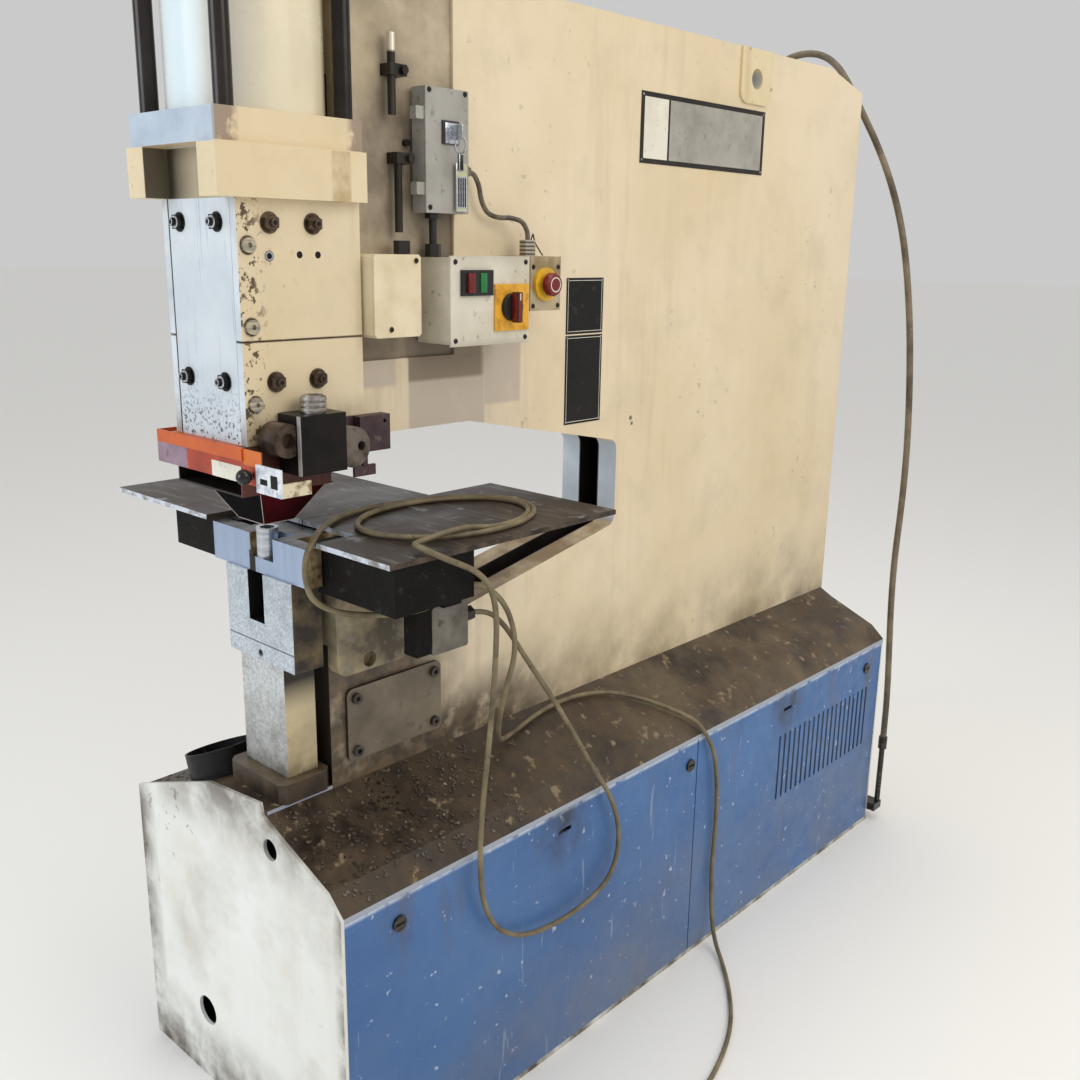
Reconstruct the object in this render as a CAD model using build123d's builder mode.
from build123d import *
import math
import os

# Ironworker with a C frame. Millimetres, Z up, floor at 0.
# X = 0 is the middle of the frame, +X the side with the blue panels.
# Y = 0 is the punch axis, +Y runs to the back.
os.makedirs("parts", exist_ok=True)

# Driving dimensions: frame
cheek_out = 70.0
cheek_in = 23.0
frame_top = 1864.0
frame_back = 1645.0
jaw_front = 54.0
head_back = 119.0
throat_back = 760.0
lower_jaw = 852.0
jaw_gap = 325.0
upper_jaw = lower_jaw + jaw_gap
throat_low = lower_jaw + 79.0
throat_high = upper_jaw - 79.0
throat_round = 22.0
recess_face = 64.0
recess_end = 327.0
recess_low = 1290.0
floor_plate = 10.0
lift_along = 1179.0
lift_height = frame_top - 58.0
lift_radius = 20.0

# Head and cylinder, stacked up from the upper jaw
housing_side = 94.0
housing_front = -86.0
housing_rear = 66.0
plate_thick = 16.0
housing_low = upper_jaw + 11.0
housing_seam = housing_low + 143.0
housing_high = housing_low + 332.0
flange_split = housing_high + 68.0
barrel_low = flange_split + 43.0
barrel_high = barrel_low + 330.0
cap_high = barrel_high + 45.0
bore_radius = 90.0
barrel_wall = 18.0
piston_clear = 0.05
piston_radius = bore_radius - piston_clear
piston_height = 55.0
piston_high = barrel_high - 21.0
rod_radius = 45.0
rod_bore = rod_radius + 0.05
ram_x = 52.0
ram_y = 50.0
ram_low = housing_low - 8.0
ram_high = housing_high - 20.0
gib_clear = 0.05
gib_low = housing_low + 2.0
screw_radius = 6.0
screw_heights = [housing_low + 86.0, housing_high - 31.0]
side_screw_y = [-35.0, 36.0]
front_screw_x = [-48.0, 48.0]
head_bolt_heights = [housing_low + 57.0, housing_low + 163.0, housing_high - 61.0]
tie_radius = 13.0
tie_foot = housing_high + 20.0
tie_places = [(-94.0, -95.0), (-94.0, 95.0), (94.0, -95.0), (94.0, 95.0)]

# Tools, die side and table
punch_radius = 10.0
punch_end = housing_low - 136.0
holder_low = lower_jaw + 120.0
holder_high = holder_low + 60.0
die_seat = holder_low + 24.0
table_top = holder_high + 10.0
table_thick = 8.0
column_joint = lower_jaw - 23.0
slot_low = holder_low - 80.0
bracket_low = table_top - 82.0
shelf_low = bracket_low - 31.0
switch_top = bracket_low - 38.0
switch_low = switch_top - 78.0
foot_high = 646.0
deck_high = 606.0
ridge_top = 612.0
die_radius = 17.0
die_bore = 11.0

# Base, panels and small parts
base_right = 257.0
base_left = -335.0
base_front = -76.0
base_back = 1640.0
sheet = 3.0
door_split = 825.0
cord_radius = 4.5
hose_radius = 8.0
conduit_radius = 4.0
button_clear = 0.3
turn_clear = 0.05


def block(x0, x1, y0, y1, z0, z1, mode=Mode.ADD):
    with Locations(((x0 + x1) / 2, (y0 + y1) / 2, (z0 + z1) / 2)):
        Box(x1 - x0, y1 - y0, z1 - z0, mode=mode)


def rod_z(x, y, z0, z1, radius, mode=Mode.ADD):
    with Locations((x, y, (z0 + z1) / 2)):
        Cylinder(radius, z1 - z0, mode=mode)


def rod_x(x0, x1, y, z, radius, mode=Mode.ADD):
    with Locations(Location(((x0 + x1) / 2, y, z), (0, 90, 0))):
        Cylinder(radius, x1 - x0, mode=mode)


def rod_y(x, y0, y1, z, radius, mode=Mode.ADD):
    with Locations(Location((x, (y0 + y1) / 2, z), (90, 0, 0))):
        Cylinder(radius, y1 - y0, mode=mode)


def plate_yz(points, x0, x1, mode=Mode.ADD, rounds=()):
    with BuildSketch(Plane.YZ.offset(x0)) as drawn:
        with BuildLine():
            Polyline(*points, close=True)
        make_face()
        for corner, radius in rounds:
            near = drawn.vertices().sort_by_distance((corner[0], corner[1], 0))[0]
            fillet(near, radius)
    extrude(drawn.sketch, amount=x1 - x0, mode=mode)


def plate_xz(points, y0, y1, mode=Mode.ADD, rounds=()):
    with BuildSketch(Plane.XZ.offset(-y1)) as drawn:
        with BuildLine():
            Polyline(*points, close=True)
        make_face()
        for corner, radius in rounds:
            near = drawn.vertices().sort_by_distance((corner[0], corner[1], 0))[0]
            fillet(near, radius)
    extrude(drawn.sketch, amount=y1 - y0, mode=mode)


def plate_xy(points, z0, z1, mode=Mode.ADD, rounds=()):
    with BuildSketch(Plane.XY.offset(z0)) as drawn:
        with BuildLine():
            Polyline(*points, close=True)
        make_face()
        for corner, radius in rounds:
            near = drawn.vertices().sort_by_distance((corner[0], corner[1], 0))[0]
            fillet(near, radius)
    extrude(drawn.sketch, amount=z1 - z0, mode=mode)


def hex_on(plane, across, height, mode=Mode.ADD):
    with BuildSketch(plane) as drawn:
        RegularPolygon(across / 2, 6, major_radius=False)
    extrude(drawn.sketch, amount=height, mode=mode)


def rectangle(a0, a1, b0, b1):
    return [(a0, b0), (a1, b0), (a1, b1), (a0, b1)]


def bend_radii(points):
    radii = []
    for i in range(1, len(points) - 1):
        before = Vector(*points[i]) - Vector(*points[i - 1])
        after = Vector(*points[i + 1]) - Vector(*points[i])
        half = math.radians(before.get_angle(after)) / 2
        shorter = min(before.length, after.length)
        radii.append(0.45 * shorter / math.tan(half))
    return radii


def cord_solid(points, radius):
    with BuildLine() as run:
        FilletPolyline(*points, radius=bend_radii(points))
    start = Plane(origin=run.line @ 0, z_dir=run.line % 0)
    with BuildSketch(start) as section:
        Circle(radius)
    sweep(section.sketch, path=run.line)


def save(builder, name):
    builder.part.label = name
    export_step(builder.part, "parts/" + name + ".step")


# Outline of one cheek, with the deep throat between the jaws
cheek_line = [
    (head_back, frame_top),
    (frame_back - 153.0, frame_top),
    (frame_back, frame_top - 38.0),
    (frame_back, floor_plate),
    (jaw_front, floor_plate),
    (jaw_front, lower_jaw),
    (359.0, lower_jaw),
    (throat_back, throat_low),
    (throat_back, throat_high),
    (359.0, upper_jaw),
    (head_back, upper_jaw),
]
throat_rounds = [((throat_back, throat_low), throat_round), ((throat_back, throat_high), throat_round)]

with BuildPart() as frame_cheek_right:
    plate_yz(cheek_line, cheek_in, cheek_out, rounds=throat_rounds)
    block(recess_face, cheek_out, head_back, recess_end, recess_low, frame_top, Mode.SUBTRACT)
    rod_x(cheek_in, cheek_out, lift_along, lift_height, lift_radius, Mode.SUBTRACT)
    rod_x(cheek_out - 12, cheek_out, 802, 1138, 5, Mode.SUBTRACT)
    rod_x(cheek_out - 12, cheek_out, 806, 1127, 4, Mode.SUBTRACT)
save(frame_cheek_right, "frame_cheek_right")

with BuildPart() as frame_cheek_left:
    plate_yz(cheek_line, -cheek_out, -cheek_in, rounds=throat_rounds)
    rod_x(-cheek_out, -cheek_in, lift_along, lift_height, lift_radius, Mode.SUBTRACT)
save(frame_cheek_left, "frame_cheek_left")

# Spacers between the cheeks, and doubling plates around the lifting holes
lug_line = rectangle(lift_along - 58, lift_along + 58, lift_height - 49, frame_top)
lug_rounds = [(lug_line[0], 24), (lug_line[1], 24)]
with BuildPart() as frame_spacers:
    plate_yz(lug_line, cheek_out, cheek_out + 5, rounds=lug_rounds)
    plate_yz(lug_line, -cheek_out - 5, -cheek_out, rounds=lug_rounds)
    rod_x(-cheek_out - 5, cheek_out + 5, lift_along, lift_height, lift_radius, Mode.SUBTRACT)
    block(-cheek_in, cheek_in, head_back, 260, upper_jaw, frame_top)
    block(-cheek_in, cheek_in, 1040, 1090, frame_top - 30, frame_top)
    block(-cheek_in, cheek_in, 1270, frame_back - 153, frame_top - 30, frame_top)
    block(-cheek_in, cheek_in, frame_back - 35, frame_back, floor_plate, frame_top - 64)
    block(-cheek_in, cheek_in, jaw_front, 170, floor_plate, lower_jaw)
save(frame_spacers, "frame_spacers")

# Head
with BuildPart() as head_rear_block:
    block(-housing_side, housing_side, housing_rear, head_back, housing_low, housing_high)
save(head_rear_block, "head_rear_block")

with BuildPart() as guide_side_plates:
    for side in (-1, 1):
        for low, high in ((housing_low, housing_seam - 0.4), (housing_seam + 0.4, housing_high)):
            a = min(side * (housing_side - 14), side * housing_side)
            b = max(side * (housing_side - 14), side * housing_side)
            block(a, b, housing_front, housing_rear, low, high)
    for height in screw_heights:
        for along in side_screw_y:
            rod_x(-housing_side, housing_side, along, height, screw_radius, Mode.SUBTRACT)
    rod_x(housing_side - 9, housing_side, 13, housing_high - 73, 5, Mode.SUBTRACT)
    rod_x(housing_side - 9, housing_side, 44, housing_high - 73, 5, Mode.SUBTRACT)
    rod_x(housing_side - 3, housing_side, -37, housing_high - 75, 10, Mode.SUBTRACT)
save(guide_side_plates, "guide_side_plates")

with BuildPart() as guide_front_plate:
    wide = housing_side - 14.8
    block(-wide, wide, housing_front, housing_front + plate_thick, housing_low, housing_high)
    for height in screw_heights:
        for across in front_screw_x:
            rod_y(across, housing_front, housing_front + plate_thick, height, screw_radius, Mode.SUBTRACT)
save(guide_front_plate, "guide_front_plate")

with BuildPart() as gib_strips:
    block(-50, 50, -62, -ram_y - gib_clear, gib_low, ram_high)
    block(-50, 50, ram_y + gib_clear, housing_rear, gib_low, ram_high)
    block(ram_x + gib_clear, 64, -48, 48, gib_low, ram_high)
    block(-64, -ram_x - gib_clear, -48, 48, gib_low, ram_high)
save(gib_strips, "gib_strips")

# Set screws that press the gibs, each with its lock nut
with BuildPart() as gib_screws:
    for height in screw_heights:
        for across in front_screw_x:
            rod_y(across, housing_front - 15, -62, height, screw_radius)
            hex_on(Plane((across, housing_front, height), z_dir=(0, -1, 0)), 19, 9)
        for along in side_screw_y:
            rod_x(64, housing_side + 15, along, height, screw_radius)
            rod_x(-housing_side - 15, -64, along, height, screw_radius)
            hex_on(Plane((housing_side, along, height), z_dir=(1, 0, 0)), 19, 9)
            hex_on(Plane((-housing_side, along, height), z_dir=(-1, 0, 0)), 19, 9)
save(gib_screws, "gib_screws")

with BuildPart() as housing_bolts:
    for height in head_bolt_heights:
        rod_x(housing_side, housing_side + 6, -70, height, 10)
        rod_x(-housing_side - 6, -housing_side, -70, height, 10)
    for height in head_bolt_heights:
        hex_on(Plane((housing_side + 6, -70, height), z_dir=(-1, 0, 0)), 7, 4, Mode.SUBTRACT)
        hex_on(Plane((-housing_side - 6, -70, height), z_dir=(1, 0, 0)), 7, 4, Mode.SUBTRACT)
save(housing_bolts, "housing_bolts")

with BuildPart() as lower_flange:
    block(-114, 114, -123.5, head_back, housing_high, flange_split)
    block(-70, 70, -123.5, -86, housing_high, flange_split, Mode.SUBTRACT)
    rod_z(0, 0, housing_high, flange_split, rod_bore, Mode.SUBTRACT)
    for across, along in tie_places:
        rod_z(across, along, tie_foot, flange_split, tie_radius, Mode.SUBTRACT)
save(lower_flange, "lower_flange")

with BuildPart() as upper_flange:
    block(-108, 108, -120.5, 118, flange_split, barrel_low)
    chamfer(upper_flange.edges().filter_by(Axis.Z), 2)
    rod_z(0, 0, flange_split, barrel_low, rod_bore, Mode.SUBTRACT)
    for across, along in tie_places:
        rod_z(across, along, flange_split, barrel_low, tie_radius, Mode.SUBTRACT)
save(upper_flange, "upper_flange")

with BuildPart() as cylinder_barrel:
    rod_z(0, 0, barrel_low, barrel_high, bore_radius + barrel_wall)
    rod_z(0, 0, barrel_low, barrel_high, bore_radius, Mode.SUBTRACT)
save(cylinder_barrel, "cylinder_barrel")

with BuildPart() as cylinder_cap:
    block(-116, 116, -117, 117, barrel_high, cap_high)
    chamfer(cylinder_cap.edges().filter_by(Axis.Z), 12)
    for across, along in tie_places:
        rod_z(across, along, barrel_high, cap_high, tie_radius, Mode.SUBTRACT)
save(cylinder_cap, "cylinder_cap")

with BuildPart() as tie_rods:
    for across, along in tie_places:
        rod_z(across, along, tie_foot, cap_high + 32, tie_radius)
        hex_on(Plane((across, along, cap_high), z_dir=(0, 0, 1)), 41, 22)
save(tie_rods, "tie_rods")

# Piston with its rod, ram, holder and punch move together
with BuildPart() as piston_rod:
    rod_z(0, 0, ram_high, piston_high - piston_height, rod_radius)
    rod_z(0, 0, piston_high - piston_height, piston_high, piston_radius)
save(piston_rod, "piston_rod")

with BuildPart() as ram:
    block(-ram_x, ram_x, -ram_y, ram_y, ram_low, ram_high)
    chamfer(ram.edges().filter_by(Axis.Z), 3)
save(ram, "ram")

with BuildPart() as punch_holder:
    rod_z(0, 0, ram_low - 40, ram_low, 30)
    rod_z(0, 0, ram_low - 68, ram_low - 40, 20)
    rod_z(0, 0, ram_low - 68, ram_low - 30, punch_radius, Mode.SUBTRACT)
save(punch_holder, "punch_holder")

with BuildPart() as punch:
    rod_z(0, 0, punch_end, ram_low - 30, punch_radius)
save(punch, "punch")

# Guard around the punch
guard_deck = housing_low - 18.0
guard_skirt = housing_low - 50.0
guard_floor = housing_low - 73.0
funnel_tip = housing_low - 132.0
knob_height = housing_low - 36.0
knob_across = 118.0
knob_radius = 12.0
skirt_right = 140.0
latch_right = 190.0
latch_low = guard_floor + 16.0
with BuildPart() as guard_collar:
    block(-97, 97, -96, 62, guard_deck, housing_low)
    block(-60, 60, -58, 56, guard_deck, housing_low, Mode.SUBTRACT)
    block(-97, 97, -98.6, -96, guard_deck, housing_low)
    block(-138, skirt_right, -96, -93, guard_skirt, housing_low - 1)
    block(83, 86, -93, 60, guard_floor + 3, guard_deck)
    block(-86, -83, -93, 60, guard_floor + 3, guard_deck)
    block(86, 95, -50, 35, guard_floor + 3, guard_floor + 30)
    block(-138, -135, -93, -64, guard_skirt, housing_low - 1)
    block(-86, 86, -93, 62, guard_floor, guard_floor + 3)
    block(-72, 72, -54, 54, guard_floor, guard_floor + 3, Mode.SUBTRACT)
    block(knob_across + knob_radius + 1, latch_right, -99, -96, latch_low, latch_low + 39)
    block(latch_right - 4, latch_right, -96, -50, latch_low, latch_low + 19)
    rod_y(knob_across, -96, -93, knob_height, 4 + turn_clear, Mode.SUBTRACT)
save(guard_collar, "guard_collar")

# The funnel narrows evenly from the guard's floor to its tip
funnel_fall = guard_floor - funnel_tip
middle_top = (Align.CENTER, Align.MIN, Align.CENTER)
with BuildPart() as guard_funnel:
    with Locations((0, 0, guard_floor)):
        Wedge(152, funnel_fall, 116, 42, 31, 110, 85, rotation=(-90, 0, 0), align=middle_top)
        Wedge(
            146,
            funnel_fall,
            110,
            42,
            31,
            104,
            79,
            rotation=(-90, 0, 0),
            align=middle_top,
            mode=Mode.SUBTRACT,
        )
save(guard_funnel, "guard_funnel")

# Spring plunger with a bevelled knob
with BuildPart() as guard_plunger:
    rod_y(knob_across, -98.8, -84, knob_height, 4)
    rod_y(knob_across, -120.8, -98.8, knob_height, knob_radius)
    chamfer(guard_plunger.edges().filter_by(GeomType.CIRCLE).group_by(SortBy.RADIUS)[-1], 5)
save(guard_plunger, "guard_plunger")

# Punch unit on the right side of the housing
unit_x = 125.0
unit_y = 4.0
unit_high = housing_low + 43.0
with BuildPart() as punch_unit_body:
    block(97.5, 150, -37, 42, unit_high - 84, unit_high)
    block(housing_side, 97.5, -30, 36, housing_low + 1, unit_high)
    rod_x(102, 140, -50, unit_high - 33.5, 24)
    rod_x(102, 146, 57.5, unit_high - 53.5, 30)
    rod_x(102, 146, 72, unit_high - 53, 7, Mode.SUBTRACT)
    rod_x(126, 140, -50, unit_high - 33.5, 11, Mode.SUBTRACT)
    rod_z(unit_x, unit_y, unit_high - 26, unit_high, 15, Mode.SUBTRACT)
save(punch_unit_body, "punch_unit_body")

# Threaded column: three rings between four thinner necks, and a hex socket
with BuildPart() as punch_unit_column:
    rod_z(unit_x, unit_y, unit_high - 26, unit_high + 25, 15)
    for step in range(3):
        low = unit_high + 3.0 + 7.5 * step
        rod_z(unit_x, unit_y, low, low + 5.0, 19)
    hex_on(Plane((unit_x, unit_y, unit_high + 25), z_dir=(0, 0, -1)), 14, 10, Mode.SUBTRACT)
save(punch_unit_column, "punch_unit_column")

with BuildPart() as punch_unit_bar:
    block(97.5, 102, 42.5, 149, unit_high - 70, unit_high - 16)
    block(102, 118, 92, 149, unit_high - 70, unit_high - 16)
    rod_x(106, 118, 139, unit_high - 26, 3, Mode.SUBTRACT)
    block(106, 114, 100, 108, unit_high - 91, unit_high - 70)
    block(107.5, 112.5, 84, 124, unit_high - 107, unit_high - 91)
save(punch_unit_bar, "punch_unit_bar")

# Stroke rods with their clamps on the recessed face
with BuildPart() as stroke_rods:
    for along, height, low, high in ((196, 1702, 1648, 1760), (206, 1580, 1481, 1588)):
        block(recess_face, 88, along - 9, along + 23, height, height + 16)
        rod_x(88, 94, along + 15, height + 8, 6)
        rod_z(79, along, low, high, 6)
    rod_x(recess_face, 72, 232, 1612, 5)
save(stroke_rods, "stroke_rods")

# Die side
with BuildPart() as column_lower:
    block(-75, 75, -45, 50, ridge_top, foot_high)
    chamfer(column_lower.edges().filter_by(Axis.Z), 10)
    block(-58, 58, -21, 35, foot_high, column_joint)
save(column_lower, "column_lower")

# Upper part, with the open slot that lets the slugs fall forward
with BuildPart() as column_upper:
    block(-88, 88, -21, 32, column_joint, holder_low)
    block(-28, 13, -21, 14, slot_low, holder_low, Mode.SUBTRACT)
    rod_y(-2, -21, -15, column_joint + 12, 6, Mode.SUBTRACT)
save(column_upper, "column_upper")

with BuildPart() as die_holder:
    block(-125.5, 125.5, -17.5, 10, holder_low, holder_high)
    block(-60, 60, 10, 150, holder_low, holder_high)
    block(-22, 39, -17.5, 20, die_seat, holder_high, Mode.SUBTRACT)
    rod_z(0, 0, holder_low, die_seat, 12, Mode.SUBTRACT)
    chamfer(die_holder.edges().filter_by(Axis.Z).sort_by(Axis.X)[-1], 2)
    rod_y(98, 10, 32, holder_low + 31, 12)
save(die_holder, "die_holder")

with BuildPart() as die:
    rod_z(0, 0, die_seat, table_top, die_radius)
    rod_z(0, 0, die_seat, table_top, die_bore, Mode.SUBTRACT)
save(die, "die")

pad_low = lower_jaw - 49.0
pad_line = rectangle(jaw_front, 200, pad_low, holder_low + 13)
pad_rounds = [((jaw_front, pad_low), 20), ((200, pad_low), 20)]
with BuildPart() as bolster:
    block(-cheek_out, cheek_out, jaw_front, 200, lower_jaw, holder_low)
    plate_yz(pad_line, cheek_out, 94, rounds=pad_rounds)
    plate_yz(pad_line, -94, -cheek_out, rounds=pad_rounds)
    rod_x(80, 94, 118, pad_low + 17, 13, Mode.SUBTRACT)
    rod_x(-94, -80, 118, pad_low + 17, 13, Mode.SUBTRACT)
save(bolster, "bolster")

cover_high = lower_jaw - 83.0
cover_low = deck_high + 37.0
cover_line = rectangle(84, 286, cover_low, cover_high)
cover_rounds = [(corner, 12) for corner in cover_line]
with BuildPart() as cover_plate:
    plate_yz(cover_line, cheek_out, cheek_out + 6, rounds=cover_rounds)
    for along in (101, 269):
        for height in (cover_low + 17, cover_high - 17):
            rod_x(cheek_out + 6, cheek_out + 13, along, height, 9)
    for along in (101, 269):
        for height in (cover_low + 17, cover_high - 17):
            hex_on(Plane((cheek_out + 13, along, height), z_dir=(-1, 0, 0)), 8, 5, Mode.SUBTRACT)
save(cover_plate, "cover_plate")

# Table plates and what carries them
right_line = [(132, -5), (298, -5), (298, 480), (1, 480), (1, 65), (132, 65)]
left_line = [(-132, -25), (-420, -25), (-420, 330), (-1, 330), (-1, 65), (-132, 65)]
with BuildPart() as table_plates:
    plate_xy(right_line, table_top - table_thick, table_top)
    plate_xy(left_line, table_top - table_thick, table_top)
save(table_plates, "table_plates")

with BuildPart() as table_brackets:
    for side in (-1, 1):
        near = side * 94
        far = side * 290
        block(min(near, far), max(near, far), 10, 161, table_top - 20, table_top - table_thick)
        block(min(side * 278, far), max(side * 278, far), 10, 161, bracket_low, table_top - 20)
        block(min(side * 112, far), max(side * 112, far), 10, 22, bracket_low, table_top - 20)
        block(min(near, far), max(near, far), 80, 92, bracket_low, table_top - 20)
    block(185, 215, 80, 215, shelf_low, shelf_low + 16)
    block(185, 215, 80, 92, shelf_low + 16, bracket_low)
    block(185, 215, 113, 143, shelf_low - 75, shelf_low)
    block(185, 215, 168, 206, switch_top, shelf_low)
save(table_brackets, "table_brackets")

with BuildPart() as switch_box:
    block(166, 204, 154, 230, switch_low, switch_top)
    chamfer(switch_box.edges().filter_by(Axis.X), 3)
save(switch_box, "switch_box")

# Round tin for the slugs, lying on the left deck
pan_plane = Plane(origin=(-150, -4, 581.3), z_dir=(-0.3507, 0, 0.9365))
pan_radius = 62.0
with BuildPart() as slug_pan:
    with BuildSketch(pan_plane.offset(0.3)) as tin:
        Circle(pan_radius)
    extrude(tin.sketch, amount=46)
    with BuildSketch(pan_plane.offset(3.3)) as hollow:
        Circle(pan_radius - 3)
    extrude(hollow.sketch, amount=50, mode=Mode.SUBTRACT)
save(slug_pan, "slug_pan")

# Base
front_line = [
    (base_left, 0),
    (base_right, 0),
    (base_right, 508),
    (223, 539),
    (104, 586),
    (63, 605),
    (58, 624),
    (-90, 608),
    (-332, 518),
    (base_left, 513),
]
with BuildPart() as base_front_plate:
    plate_xz(front_line, base_front, base_front + 6)
    rod_y(-144, base_front, base_front + 6, 144, 27, Mode.SUBTRACT)
    rod_y(81, base_front, base_front + 6, 553, 18, Mode.SUBTRACT)
save(base_front_plate, "base_front_plate")

lock_places = [(33.0, 455.0), (door_split - 26.0, 451.0), (1557.0, 452.0)]
lock_hole = 6.0 + turn_clear
with BuildPart() as base_frame:
    block(base_left, base_right, base_front + 6, base_back, 0, floor_plate)
    block(base_left, base_left + sheet, base_front + 6, base_back, floor_plate, 506)
    right_rear = [
        (cheek_out, floor_plate),
        (base_right, floor_plate),
        (base_right, 500),
        (254, 500),
        (254, 505),
        (222, 533),
        (103, 582),
        (cheek_out, 600),
    ]
    left_rear = [(-cheek_out, 10), (-332, 10), (-332, 507), (-92, 597), (-cheek_out, 600)]
    plate_xz(right_rear, base_back - 6, base_back)
    plate_xz(left_rear, base_back - 6, base_back)
    block(226, 236, base_front + 6, base_back - 6, 436, 470)
    block(216, 236, door_split - 12, door_split + 12, floor_plate, 470)
    block(216, 236, base_front + 6, base_front + 26, floor_plate, 470)
    for along, height in lock_places:
        rod_x(216, 236, along, height, 22, Mode.SUBTRACT)
        rod_x(226, 236, along, height, 22)
        rod_x(226, 236, along, height, 9, Mode.SUBTRACT)
save(base_frame, "base_frame")

right_deck = [
    (cheek_out, deck_high),
    (104, 588),
    (223, 539),
    (base_right, 509),
    (base_right, 500),
    (254, 500),
    (254, 505),
    (222, 533),
    (103, 582),
    (cheek_out, 600),
]
left_deck = [(-cheek_out, deck_high), (-92, 603), (base_left, 512), (base_left, 506), (-92, 597), (-cheek_out, 600)]
with BuildPart() as decks:
    plate_xz(right_deck, base_front + 6, base_back)
    plate_xz(left_deck, base_front + 6, base_back)
    block(-cheek_out, cheek_out, base_front + 6, jaw_front, 600, 612)
save(decks, "decks")


def panel(y0, y1):
    block(254.5, base_right, y0, y1, floor_plate, 499.5)
    block(236, 254.5, y0, y0 + 2.5, floor_plate, 499.5)
    block(236, 254.5, y1 - 2.5, y1, floor_plate, 499.5)
    block(236, 254.5, y0, y1, 497, 499.5)
    block(236, 254.5, y0, y1, floor_plate, floor_plate + 2.5)


with BuildPart() as door_front:
    panel(base_front + 6, door_split - 1.5)
    for along, height in lock_places[:2]:
        rod_x(254.5, base_right, along, height, lock_hole, Mode.SUBTRACT)
    block(254.5, base_right, 400, 434, 455, 463, Mode.SUBTRACT)
save(door_front, "door_front")

vent_count = 20
vent_first = 1155.0
vent_last = 1570.0
vent_step = (vent_last - vent_first) / (vent_count - 1)
with BuildPart() as door_rear:
    panel(door_split + 1.5, base_back - 6.3)
    rod_x(254.5, base_right, lock_places[2][0], lock_places[2][1], lock_hole, Mode.SUBTRACT)
    block(254.5, base_right, 1162, 1196, 455, 463, Mode.SUBTRACT)
    for number in range(vent_count):
        middle = vent_first + number * vent_step
        block(254.5, base_right, middle - 4, middle + 4, 240, 398, Mode.SUBTRACT)
save(door_rear, "door_rear")

for number, place in enumerate(lock_places):
    along, height = place
    with BuildPart() as door_lock:
        rod_x(base_right, base_right + 4, along, height, 13)
        rod_x(218, base_right, along, height, 6)
        block(218, 224, along - 7, along + 7, height - 30, height + 8)
        block(base_right + 2, base_right + 4, along - 9, along + 9, height - 1.5, height + 1.5, Mode.SUBTRACT)
    save(door_lock, "door_lock_" + str(number + 1))

with BuildPart() as hydraulic_pack:
    block(86, 214, 900, 1590, floor_plate, 400)
    block(90, 210, 904, 1586, floor_plate + 4, 396, Mode.SUBTRACT)
    rod_y(148, 250, 520, 130, 70)
    rod_y(148, 520, 560, 130, 30)
    rod_y(148, 560, 660, 130, 42)
    block(90, 206, 280, 330, floor_plate, 60)
    block(90, 206, 440, 490, floor_plate, 60)
save(hydraulic_pack, "hydraulic_pack")

# Electrics on the near cheek
with BuildPart() as side_boxes:
    block(recess_face, 120, 123, 213, 1328, 1449)
    chamfer(side_boxes.edges().filter_by(Axis.X), 4)
    block(115, 115.8, 122, 214, 1327, 1450, Mode.SUBTRACT)
    rod_x(120, 121.5, 203, 1440, 3.5)
    rod_x(120, 121.5, 153, 1340, 3.5)
    block(cheek_out, 140, 433, 507, 1360, 1448)
    rod_x(140, 146, 467, 1403, 27)
    rod_x(120, 146, 467, 1403, 8 + turn_clear, Mode.SUBTRACT)
    block(cheek_out, 101, 242, 330, 1511, 1692)
    block(97.6, 98.2, 242, 330, 1511, 1692, Mode.SUBTRACT)
    block(cheek_out, 97.6, 245, 327, 1514, 1689)
    block(97, 99, 246, 326, 1515, 1688)
    block(recess_face, cheek_out, 250, 320, 1530, 1546)
    block(recess_face, cheek_out, 250, 320, 1660, 1676)
    block(84, 98, 226, 242, 1645, 1663)
    block(84, 98, 226, 242, 1537, 1555)
    block(101, 104, 274, 308, 1612, 1646)
    rod_x(97, 104, 291, 1629, 6 + turn_clear, Mode.SUBTRACT)
save(side_boxes, "side_boxes")

with BuildPart() as key:
    rod_x(97.5, 106.5, 291, 1629, 6)
    block(106.5, 130, 290, 292, 1618, 1640)
    with BuildSketch(Plane.XZ.offset(-292.5)) as ring:
        with Locations((125, 1610)):
            Circle(13)
            Circle(11, mode=Mode.SUBTRACT)
    extrude(ring.sketch, amount=3)
    block(122.5, 127.5, 286, 296, 1566, 1597.5)
save(key, "key")

stop_along = 282.0
start_along = 310.0
button_y = 7.0
button_z = 15.0
button_low = 1392.5
button_top = button_low + 2 * button_z
with BuildPart() as main_box:
    block(cheek_out, 146, 249, 417, 1314, 1445)
    block(146, 150, 246, 420, 1311, 1448)
    block(recess_face, cheek_out, 255, 320, 1330, 1346)
    block(recess_face, cheek_out, 255, 320, 1410, 1426)
    block(150, 156, 266, 332, 1388, 1427)
    block(150, 153, 339, 416, 1332, 1405)
    for along in (stop_along, start_along):
        a = button_y + button_clear
        low = button_low - button_clear
        block(140, 156, along - a, along + a, low, button_top + button_clear, Mode.SUBTRACT)
    rod_x(140, 153, 375, 1369, 6 + turn_clear, Mode.SUBTRACT)
save(main_box, "main_box")

with BuildPart() as stop_button:
    block(146, 161, stop_along - button_y, stop_along + button_y, button_low, button_top)
save(stop_button, "stop_button")

with BuildPart() as start_button:
    block(146, 158, start_along - button_y, start_along + button_y, button_low, button_top)
save(start_button, "start_button")

with BuildPart() as rotary_switch:
    rod_x(142, 153.3, 375, 1369, 6)
    rod_x(153.3, 160, 375, 1369, 22)
    block(160, 174, 369, 381, 1345, 1393)
save(rotary_switch, "rotary_switch")

with BuildPart() as estop_button:
    rod_x(130, 152, 467, 1403, 8)
    rod_x(152, 166, 467, 1403, 19)
save(estop_button, "estop_button")

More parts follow.
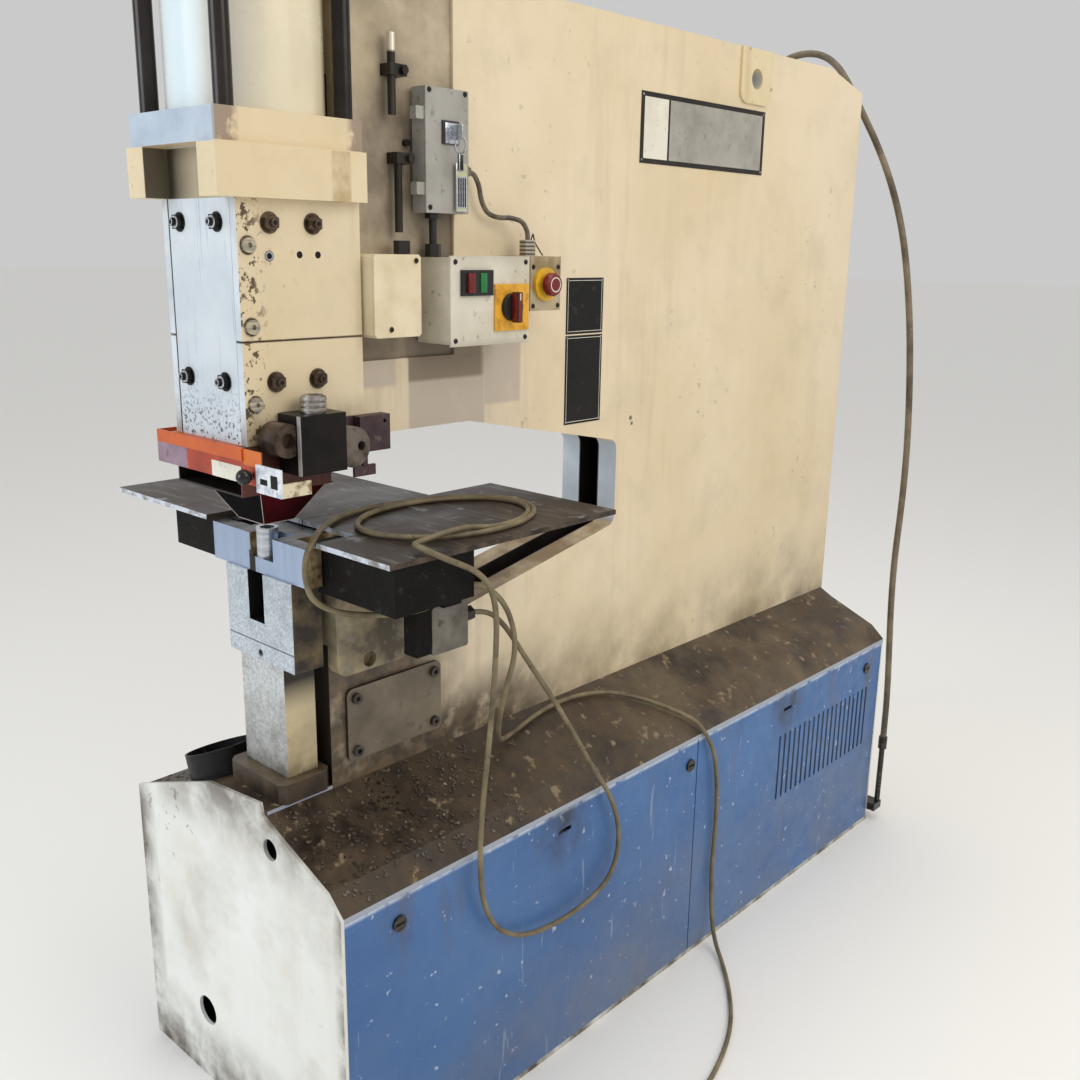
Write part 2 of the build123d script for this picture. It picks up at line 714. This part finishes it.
conduit_run = [
    (88, 341, 1576),
    (88, 355, 1573),
    (88, 366, 1556),
    (87, 371, 1534),
    (86, 386, 1514),
    (87, 410, 1508),
    (93, 436, 1509),
    (101, 455, 1503),
    (105, 462, 1486),
    (105, 462, 1474),
]
gland_places = [(92.0, 200.0, 1449.0), (84.0, 270.0, 1445.0)]
with BuildPart() as cable_glands:
    for x, y, z in gland_places:
        hex_on(Plane((x, y, z), z_dir=(0, 0, 1)), 22, 20)
    rod_z(84, 270, 1465, 1503, 6)
    hex_on(Plane((84, 270, 1511), z_dir=(0, 0, -1)), 22, 8)
    hex_on(Plane((88, 330, 1576), z_dir=(0, 1, 0)), 16, 11)
    hex_on(Plane((105, 462, 1448), z_dir=(0, 0, 1)), 24, 26)
    hex_on(Plane((185, 230, switch_low + 44), z_dir=(0, 1, 0)), 22, 24)
    cord_solid(conduit_run, conduit_radius)
save(cable_glands, "cable_glands")

# Cord from the switch box down beside the panels and up to the coil on the table
cord_a_run = [
    (185, 254, 888),
    (186, 290, 885),
    (202, 317, 855),
    (234, 330, 806),
    (264, 362, 738),
    (275, 412, 655),
    (276, 462, 575),
    (275, 528, 486),
    (275, 556, 396),
    (275, 532, 322),
    (275, 458, 298),
    (275, 362, 297),
    (276, 282, 316),
    (276, 222, 362),
    (277, 191, 430),
    (279, 184, 526),
    (283, 188, 620),
    (289, 196, 723),
    (297, 199, 830),
    (304, 196, 930),
    (308, 176, 980),
    (313, 142, 1008),
    (316, 109, 1025),
    (318, 78, 1040),
    (306.5, 62.5, 1050),
    (288, 56.5, 1054.5),
    (269.5, 62.5, 1053),
    (258, 78, 1049),
    (257, 110, 1047),
    (264, 150, 1046.8),
]
with BuildPart() as cord_a:
    cord_solid(cord_a_run, cord_radius)
save(cord_a, "cord_a")

with BuildPart() as cord_coil:
    with BuildSketch(Plane.XY.offset(table_top)) as loop:
        with Locations((150, 232)):
            Ellipse(122, 168)
            Ellipse(104, 150, mode=Mode.SUBTRACT)
    extrude(loop.sketch, amount=9.5)
save(cord_coil, "cord_coil")

# Cord from the coil under the table, along the deck and down to the foot switch
cord_b_run = [
    (22, 232, 1046.8),
    (22, 190, 1046.8),
    (28, 145, 1047),
    (44, 100, 1047.2),
    (70, 58, 1047.6),
    (102, 20, 1048),
    (131, -8, 1047),
    (143, -31, 1032),
    (147, -38, 1000),
    (152, -30, 963),
    (170, 2, 942),
    (202, 38, 938),
    (236, 74, 940),
    (254, 118, 948),
    (262, 165, 972),
    (262, 215, 960),
    (262, 264, 911),
    (262, 284, 838),
    (250, 268, 764),
    (214, 290, 690),
    (160, 345, 622),
    (118, 420, 598),
    (96, 520, 606),
    (92, 620, 607),
    (112, 712, 596),
    (172, 770, 575),
    (224, 800, 556),
    (252, 824, 538),
    (268, 848, 496),
    (270, 872, 446),
    (268, 888, 372),
    (267, 893, 280),
    (266, 888, 190),
    (269, 889, 95),
    (288, 880, 22),
    (340, 840, 4.8),
    (402, 772, 4.6),
    (460, 690, 4.7),
    (500, 590, 4.7),
    (524, 486, 4.7),
    (524, 400, 5.5),
    (511, 320, 15),
    (511, 270, 15),
]
with BuildPart() as cord_b:
    cord_solid(cord_b_run, cord_radius)
save(cord_b, "cord_b")

# Foot switch on the floor
pedal_axis = 222.0
with BuildPart() as foot_switch:
    block(462, 560, 100, 270, 0, 30)
    block(462, 468, 100, 270, 30, 95)
    block(554, 560, 100, 270, 30, 95)
    block(468, 554, 230, 236, 52, 95)
    block(462, 560, 130, 236, 95, 101)
    block(470, 552, 102, 262, 24, 30, Mode.SUBTRACT)
    rod_x(462, 468, pedal_axis, 38, 6 + turn_clear, Mode.SUBTRACT)
    rod_x(554, 560, pedal_axis, 38, 6 + turn_clear, Mode.SUBTRACT)
save(foot_switch, "foot_switch")

with BuildPart() as pedal:
    plate_yz([(115, 52), (226, 34), (226, 42), (115, 60)], 476, 546)
    rod_x(463, 559, pedal_axis, 38, 6)
save(pedal, "pedal")

# Hose at the back with its fittings
hose_run = [
    (-191, 1600, 1740),
    (-191, 1601, 1792),
    (-190.6, 1606, 1857),
    (-164, 1624, 1904),
    (-117.6, 1648, 1931),
    (-64, 1667, 1931),
    (-15, 1670, 1900),
    (21, 1670, 1851),
    (70, 1670, 1771),
    (103, 1670, 1718),
    (144, 1670, 1640),
    (184, 1670, 1537),
    (210, 1670, 1430),
    (231, 1670, 1302),
    (243, 1670, 1190),
    (252, 1670, 1075),
    (257, 1670, 955),
    (256, 1670, 835),
    (252, 1670, 720),
    (254, 1670, 610),
    (260, 1670, 505),
    (266, 1670, 410),
    (269.5, 1670, 330),
    (270, 1670, 276),
    (270, 1670.4, 232),
]
with BuildPart() as hose:
    cord_solid(hose_run, hose_radius)
save(hose, "hose")

with BuildPart() as hose_fittings:
    rod_z(270, 1670, 200, 232, 11)
    rod_z(270, 1670, 49, 200, 7)
    block(240, 278, base_back, 1678, 29, 49)
    rod_x(-180, -cheek_out, 1600, 1719, 11)
    block(-205, -177, 1586, 1614, 1700, 1740)
save(hose_fittings, "hose_fittings")
